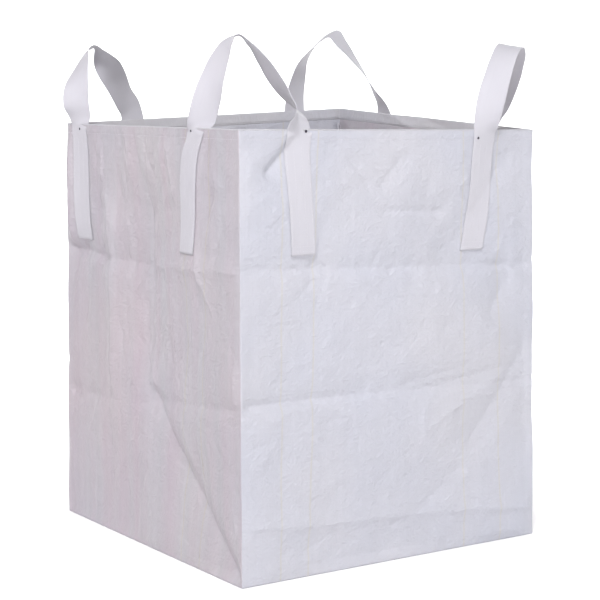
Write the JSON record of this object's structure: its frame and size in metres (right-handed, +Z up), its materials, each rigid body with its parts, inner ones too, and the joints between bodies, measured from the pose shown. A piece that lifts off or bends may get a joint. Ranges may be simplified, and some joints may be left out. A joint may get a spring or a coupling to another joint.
{
  "type": "bulk bag",
  "caption": "Open-top square bulk bag of woven fabric, standing open, with a webbing lifting loop sewn across each corner.",
  "frame": {"origin": "centre of the bag's footprint, on the surface that it stands on", "axes": "+Z up out of the mouth, X and Y along the walls, with the front wall facing -Y and the right wall facing +X"},
  "size_m": [0.9599, 0.9544, 1.335],
  "materials": {
    "wall_fabric": "white woven polypropylene, satin",
    "base_fabric": "white woven polypropylene, satin",
    "hem_fabric": "white woven polypropylene, turned over",
    "seam_fabric": "white woven polypropylene, double layer",
    "webbing": "white woven polypropylene webbing, matte",
    "thread": "white sewing thread",
    "tack_thread": "dark sewing thread, packed tight"
  },
  "bodies": {
    "bag": {"front_panel": "wall_fabric", "back_panel": "wall_fabric", "left_panel": "wall_fabric", "right_panel": "wall_fabric", "base_panel": "base_fabric", "front_hem": "hem_fabric", "back_hem": "hem_fabric", "left_hem": "hem_fabric", "right_hem": "hem_fabric", "hem_stitches": "thread", "front_left_corner_seam": "seam_fabric", "front_left_corner_seam_stitches": "thread", "front_right_corner_seam": "seam_fabric", "front_right_corner_seam_stitches": "thread", "back_left_corner_seam": "seam_fabric", "back_left_corner_seam_stitches": "thread", "back_right_corner_seam": "seam_fabric", "back_right_corner_seam_stitches": "thread", "front_base_seam": "seam_fabric", "front_base_seam_stitches": "thread", "back_base_seam": "seam_fabric", "back_base_seam_stitches": "thread", "left_base_seam": "seam_fabric", "left_base_seam_stitches": "thread", "right_base_seam": "seam_fabric", "right_base_seam_stitches": "thread", "front_leg_left": "webbing", "front_leg_left_stitches": "thread", "front_tack_left": "tack_thread", "front_leg_right": "webbing", "front_leg_right_stitches": "thread", "front_tack_right": "tack_thread", "back_leg_left": "webbing", "back_leg_left_stitches": "thread", "back_tack_left": "tack_thread", "back_leg_right": "webbing", "back_leg_right_stitches": "thread", "back_tack_right": "tack_thread", "left_leg_front": "webbing", "left_leg_front_stitches": "thread", "left_tack_front": "tack_thread", "left_leg_back": "webbing", "left_leg_back_stitches": "thread", "left_tack_back": "tack_thread", "right_leg_front": "webbing", "right_leg_front_stitches": "thread", "right_tack_front": "tack_thread", "right_leg_back": "webbing", "right_leg_back_stitches": "thread", "right_tack_back": "tack_thread"},
    "front_left_loop": {"front_left_loop": "webbing"},
    "front_right_loop": {"front_right_loop": "webbing"},
    "back_left_loop": {"back_left_loop": "webbing"},
    "back_right_loop": {"back_right_loop": "webbing"}
  },
  "joints": [
    {"name": "front_left_loop_tip", "type": "hinge", "parent": "bag", "child": "front_left_loop", "pos_m": [-0.36078, -0.36078, 1.145], "axis": [0.7071, -0.7071, 0], "range_deg": [-120, 120], "stiffness_Nm_per_rad": 0.15},
    {"name": "front_right_loop_tip", "type": "hinge", "parent": "bag", "child": "front_right_loop", "pos_m": [0.36078, -0.36078, 1.145], "axis": [0.7071, 0.7071, 0], "range_deg": [-120, 120], "stiffness_Nm_per_rad": 0.15},
    {"name": "back_left_loop_tip", "type": "hinge", "parent": "bag", "child": "back_left_loop", "pos_m": [-0.36078, 0.40077, 1.145], "axis": [-0.8727, -0.4882, 0], "range_deg": [-120, 105], "stiffness_Nm_per_rad": 0.15},
    {"name": "back_right_loop_tip", "type": "hinge", "parent": "bag", "child": "back_right_loop", "pos_m": [0.36078, 0.36078, 1.145], "axis": [-0.7071, 0.7071, 0], "range_deg": [-120, 120], "stiffness_Nm_per_rad": 0.15}
  ]
}
